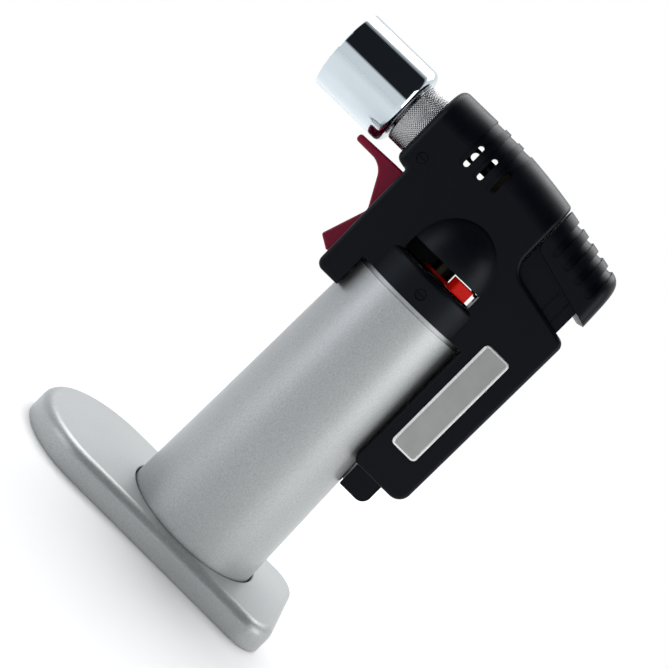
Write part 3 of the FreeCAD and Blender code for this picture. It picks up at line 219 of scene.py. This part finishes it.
def make_materials():
    """One finished material for each slot of the record."""
    return {
        "silver_paint": silver_paint(),
        "black_plastic": moulded("black_plastic", (0.0014, 0.0018, 0.0034), 0.34, 0.44,
                                 Specular_IOR_Level=0.12, Specular_Tint=(0.84, 0.92, 1.0, 1.0)),
        "soft_rubber": moulded("soft_rubber", (0.02, 0.02, 0.021), 0.7, 0.85, 0.00003),
        "brass": metal("brass", (0.74, 0.53, 0.22), 0.22, 0.40, (300, 2500, 2500)),
        # Dark brass is painted shade: the mixing tube and gas manifold seen through the vents get a
        # near-black colour in place of the shadow they sit in.
        "dark_brass": metal("dark_brass", (0.030, 0.025, 0.019), 0.3, 0.5, (300, 2500, 2500)),
        "heat_steel": metal("heat_steel", (0.24, 0.235, 0.24), 0.3, 0.48, (400, 2500, 2500)),
        "felt": felt(),
        "spring_steel": metal("spring_steel", (0.55, 0.55, 0.57), 0.18, 0.34, (900, 900, 900)),
        "red_plastic": moulded("red_plastic", (0.44, 0.004, 0.001), 0.34, 0.44, Specular_IOR_Level=0.07),
        "crimson_plastic": moulded("crimson_plastic", (0.165, 0.003, 0.022), 0.30, 0.40,
                                   Specular_IOR_Level=0.14),
        "label_metal": metal("label_metal", (0.36, 0.36, 0.355), 0.38, 0.52, (5000, 5000, 160),
                             depth=0.000006),
        # Black steel is partly the parts' own black finish and partly painted shade: it darkens the outlet
        # valve in the lever window and the screw heads in their recesses, which lie in shadow.
        "black_steel": metal("black_steel", (0.012, 0.012, 0.014), 0.35, 0.5),
        "white_plastic": moulded("white_plastic", (0.74, 0.73, 0.69), 0.35, 0.5),
        "lead_sleeve": moulded("lead_sleeve", (0.02, 0.02, 0.022), 0.4, 0.55),
        "ceramic": moulded("ceramic", (0.82, 0.81, 0.77), 0.12, 0.25, Coat_Weight=0.5),
        "knurled_steel": metal("knurled_steel", (0.42, 0.42, 0.43), 0.20, 0.32, (1500, 4000, 4000)),
        "chrome": metal("chrome", (0.55, 0.61, 0.65), 0.025, 0.055, (60, 200, 200), 0.97, 0.0000005),
    }


# ---------------------------------------------------------------- mesh helpers
def mesh_object(name, points, faces, finish, body, replaced, smooth_angle=35.0):
    """A mesh piece in the row frame that stands for a CAD node and rides on a body."""
    mesh = bpy.data.meshes.new(name)
    mesh.from_pydata(points, [], faces)
    mesh.validate()
    made = bpy.data.objects.new(name, mesh)
    scene.collection.objects.link(made)
    for layer in finish if isinstance(finish, (list, tuple)) else [finish]:
        mesh.materials.append(layer)
    mesh.shade_smooth()
    mesh.set_sharp_from_angle(angle=math.radians(smooth_angle))
    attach(made, body)
    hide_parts(*replaced)
    return made


def arc(centre, radius, start, end, steps):
    """Points of an arc in degrees, for a lathe outline."""
    points = []
    for i in range(steps + 1):
        angle = math.radians(start + (end - start) * i / steps)
        points.append((centre[0] + radius * math.cos(angle), centre[1] + radius * math.sin(angle)))
    return points


def lathe_along_x(outline, level, segments):
    """Points and faces of a closed outline of (x, radius) turned about an axis along X at a height."""
    points = []
    for x, radius in outline:
        for i in range(segments):
            angle = 2 * math.pi * i / segments
            points.append((x, radius * math.sin(angle), level + radius * math.cos(angle)))
    faces = []
    count = len(outline)
    for row in range(count):
        following = (row + 1) % count
        for i in range(segments):
            j = (i + 1) % segments
            faces.append((row * segments + i, row * segments + j, following * segments + j,
                          following * segments + i))
    return points, faces


# ---------------------------------------------------------------- pieces
NOZZLE_LEVEL = 135.5 * MM
# Radius of the hole that the burner's neck passes through, in the flame tube's back and in the air collar.
NECK_HOLE = 6.65 * MM
TUBE_SEGMENTS = 192


def make_flame_tube(finishes):
    """Chromed tube: thin wall, lightly rounded mouth, and a rounded back with a hole for the neck."""
    low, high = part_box("flame_tube")
    radius = (high.y - low.y) / 2
    wall = 0.8 * MM
    fillet = 2.3 * MM
    lip = 0.25 * MM
    front, rear = low.x, high.x
    inner = radius - wall
    outline = arc((front + lip, radius - lip), lip, 180, 90, 4)
    outline += arc((rear - fillet, radius - fillet), fillet, 90, 0, 14)
    outline += [(rear, NECK_HOLE + lip)] + arc((rear - lip, NECK_HOLE + lip), lip, 0, -90, 3)
    outline += [(rear - wall, NECK_HOLE)]
    outline += arc((rear - fillet, radius - fillet), fillet - wall, 0, 90, 8)
    outline += arc((front + lip, inner + lip), lip, 270, 180, 4)
    points, faces = lathe_along_x(outline, NOZZLE_LEVEL, TUBE_SEGMENTS)
    mesh_object("flame_tube_shell", points, faces, finishes["chrome"], "torch", ["flame_tube"])


def make_knurled_collar(finishes):
    """Air collar with a diamond knurl cut into its rim, between two plain chamfered edges."""
    low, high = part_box("air_collar")
    radius = (high.y - low.y) / 2
    chamfer = 0.4 * MM
    around = 80
    per_tooth = 8
    pitch_x = 0.82 * MM
    rows = 80
    depth = 0.20 * MM
    # Above 1, this flattens the diamonds' tops.
    crest_gain = 1.5
    segments = around * per_tooth
    first_knurled_row = 2
    start, end = low.x + chamfer, high.x - chamfer

    def tooth(phase):
        """Triangle wave from 0 in a groove to 1 on a crest."""
        return 1 - abs(2 * (phase % 1.0) - 1)

    outline = [(low.x, NECK_HOLE), (low.x, radius - chamfer)]
    outline += [(start + (end - start) * i / rows, radius) for i in range(rows + 1)]
    outline += [(high.x, radius - chamfer), (high.x, NECK_HOLE)]
    points, faces = lathe_along_x(outline, NOZZLE_LEVEL, segments)
    knurled = []
    for index, (x, y, z) in enumerate(points):
        row, i = divmod(index, segments)
        if first_knurled_row <= row <= first_knurled_row + rows:
            turn = i / per_tooth
            slide = (x - start) / pitch_x
            crest = min(tooth(turn + slide), tooth(turn - slide))
            scale = 1 - depth * (1 - min(1.0, crest_gain * crest)) / radius
            y, z = y * scale, NOZZLE_LEVEL + (z - NOZZLE_LEVEL) * scale
        knurled.append((x, y, z))
    mesh_object("knurled_air_collar", knurled, faces, finishes["knurled_steel"], "air_collar",
                ["air_collar"], smooth_angle=60.0)


def rounded_rectangle(width, height, corner, steps=8):
    """Points round a rectangle with rounded corners, centred on 0, anticlockwise seen from -Y."""
    points = []
    for sx, sz, start in ((1, 1, 0), (-1, 1, 90), (-1, -1, 180), (1, -1, 270)):
        centre = (sx * (width / 2 - corner), sz * (height / 2 - corner))
        points += arc(centre, corner, start, start + 90, steps)
    return points


def make_label(finishes):
    """Blank metal label: a raised polished border round a brushed field."""
    low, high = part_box("label_plate")
    middle_x, middle_z = (low.x + high.x) / 2, (low.z + high.z) / 2
    width, height = high.x - low.x, high.z - low.z
    corner = 1.4 * MM
    border = 0.7 * MM
    round_off = 0.12 * MM
    round_middle = round_off * 0.3
    sink = 0.16 * MM
    lap = 0.05 * MM
    # Share of the inset by which a loop's corners are tighter than the outline's.
    corner_share = 0.8
    face = low.y
    # How far in from the plate's outline each loop of points lies, and its place along Y.
    steps = [
        (0.0, high.y),
        (0.0, face + round_off),
        (round_middle, face + round_middle),
        (round_off, face),
        (border - round_off, face),
        (border, face + sink),
        (border + lap, face + sink),
    ]
    points = []
    for inset, y in steps:
        loop = rounded_rectangle(width - 2 * inset, height - 2 * inset, corner - inset * corner_share)
        points += [(middle_x + x, y, middle_z + z) for x, z in loop]
    count = len(points) // len(steps)
    faces = []
    for row in range(len(steps) - 1):
        for i in range(count):
            j = (i + 1) % count
            faces.append((row * count + i, row * count + j, (row + 1) * count + j, (row + 1) * count + i))
    border_faces = len(faces)
    faces.append(tuple(range((len(steps) - 1) * count, len(steps) * count)))
    faces.append(tuple(reversed(range(count))))
    made = mesh_object("label_badge", points, faces, [finishes["label_border"], finishes["label_metal"]],
                       "torch", ["label_plate"])
    made.data.polygons[border_faces].material_index = 1


# Each spring's node, the joint that shortens it, its travel, its axis and its fixed end on that axis, in mm.
SPRINGS = [
    ("trigger_spring", "trigger_pull", 4.0, (1, 0, 0), -10.5),
    ("valve_spring", "stem_lift", 1.6, (0, 0, 1), 131.0),
    ("piezo_spring", "button_press", 6.0, (0, 0, 1), 76.0),
]


def make_springs(finishes):
    """The CAD's coils again, as pieces of their own riding on the torch body."""
    for node, joint, travel, direction, fixed in SPRINGS:
        source = frame["nodes"][node]
        points = [source.matrix_world @ vertex.co for vertex in source.data.vertices]
        faces = [tuple(face.vertices) for face in source.data.polygons]
        coil = mesh_object(f"{node}_coil", points, faces, finishes["spring_steel"], "torch",
                           [node])
        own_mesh(coil)


# ---------------------------------------------------------------- studio
FLOOR_RADIUS = 2.0
FLOOR_SIDES = 96
# Distances from the middle between which the floor fades away.
FADE_START, FADE_END = 0.22, 0.60
# Sines of the heights between which the reflected studio turns from bright to dark, in front of the torch.
DARK_START, DARK_FULL = 0.10, 0.20
# The reflected studio is dark only before the first of these along Y, and all bright beyond the second.
FRONT_END, BACK_START = -0.10, 0.14


def add_floor():
    """Pale round floor that fades into the studio's white."""
    made = bpy.data.materials.new("studio_floor")
    made.use_nodes = True
    nodes = Nodes(made.node_tree)
    shader = made.node_tree.nodes["Principled BSDF"]
    shader.inputs["Base Color"].default_value = rgba((0.86, 0.86, 0.86))
    shader.inputs["Roughness"].default_value = 0.7
    shader.inputs["Emission Color"].default_value = rgba((1.0, 1.0, 1.0))
    shader.inputs["Emission Strength"].default_value = 0.05
    distance = nodes.add("ShaderNodeVectorMath", {0: nodes.coords()}, operation="LENGTH").outputs["Value"]
    fade = nodes.span(distance, 0.0, 1.0, FADE_START, FADE_END)
    clear = nodes.add("ShaderNodeBsdfTransparent").outputs[0]
    mix = nodes.add("ShaderNodeMixShader", {0: fade, 1: shader.outputs[0], 2: clear})
    output = made.node_tree.nodes["Material Output"]
    made.node_tree.links.new(mix.outputs[0], output.inputs["Surface"])
    mesh = bpy.data.meshes.new("studio_floor")
    angles = [2 * math.pi * i / FLOOR_SIDES for i in range(FLOOR_SIDES)]
    rim = [(FLOOR_RADIUS * math.cos(angle), FLOOR_RADIUS * math.sin(angle), 0.0) for angle in angles]
    mesh.from_pydata(rim, [], [tuple(range(FLOOR_SIDES))])
    mesh.materials.append(made)
    floor = bpy.data.objects.new("studio_floor", mesh)
    scene.collection.objects.link(floor)


def add_world():
    """White studio: a bright backdrop behind and below, and a dark room above the camera for reflections."""
    world = bpy.data.worlds.new("studio")
    scene.world = world
    world.use_nodes = True
    tree = world.node_tree
    tree.nodes.clear()
    nodes = Nodes(tree)
    direction = nodes.add("ShaderNodeTexCoord").outputs["Generated"]
    parts = nodes.add("ShaderNodeSeparateXYZ", {0: direction})
    x, y, z = parts.outputs
    above = nodes.span(z, 0.0, 1.0, DARK_START, DARK_FULL)
    before = nodes.span(y, 1.0, 0.0, FRONT_END, BACK_START)
    dark = nodes.math("MULTIPLY", above, before)
    side = nodes.span(x, 0.0, 1.0, -1.0, 1.0)
    room = nodes.blend(side, rgba((0.012, 0.014, 0.017)), rgba((0.022, 0.024, 0.027)))
    level = nodes.blend(side, rgba((0.86, 0.89, 0.92)), rgba((1.1, 1.1, 1.1)))
    seen = nodes.blend(dark, level, room)
    studio = nodes.add("ShaderNodeBackground", {"Color": seen, "Strength": 1.0}).outputs[0]
    plain = nodes.add("ShaderNodeBackground", {"Color": rgba((1.0, 1.0, 1.0)), "Strength": 1.0}).outputs[0]
    straight = nodes.add("ShaderNodeLightPath").outputs["Is Camera Ray"]
    mix = nodes.add("ShaderNodeMixShader", {0: straight, 1: studio, 2: plain})
    output = nodes.add("ShaderNodeOutputWorld", {"Surface": mix.outputs[0]})
    output.is_active_output = True


def add_light(name, place, aim, size, power, color=(1, 1, 1)):
    """A soft rectangular light."""
    data = bpy.data.lights.new(name, "AREA")
    data.shape = "RECTANGLE"
    data.size, data.size_y = size
    data.energy = power
    data.color = color
    lamp = bpy.data.objects.new(name, data)
    lamp.location = place
    lamp.rotation_euler = (Vector(aim) - Vector(place)).to_track_quat("-Z", "Y").to_euler()
    scene.collection.objects.link(lamp)


def add_lights():
    """A softbox above and behind, one at the right and a weaker, cooler one at the left."""
    middle = (0.0, 0.0, 0.08)
    add_light("overhead", (-0.05, 0.35, 0.75), middle, (0.9, 0.5), 7.0)
    add_light("right_box", (0.75, -0.35, 0.35), middle, (0.5, 0.7), 3.8)
    add_light("left_box", (-0.7, -0.45, 0.3), middle, (0.4, 0.6), 2.0, (0.93, 0.96, 1.0))


# ---------------------------------------------------------------- build
add_camera()
add_floor()
add_world()
add_lights()

finishes = make_materials()
finishes["label_border"] = metal("label_border", (0.75, 0.75, 0.74), 0.22, 0.36)
for part in frame["record"]["subparts"]:
    node = frame["nodes"][part["node"]]
    node.data.materials.clear()
    node.data.materials.append(finishes[part["material_slot"]])

make_flame_tube(finishes)
make_knurled_collar(finishes)
make_label(finishes)
make_springs(finishes)

scene.view_settings.view_transform = "Standard"
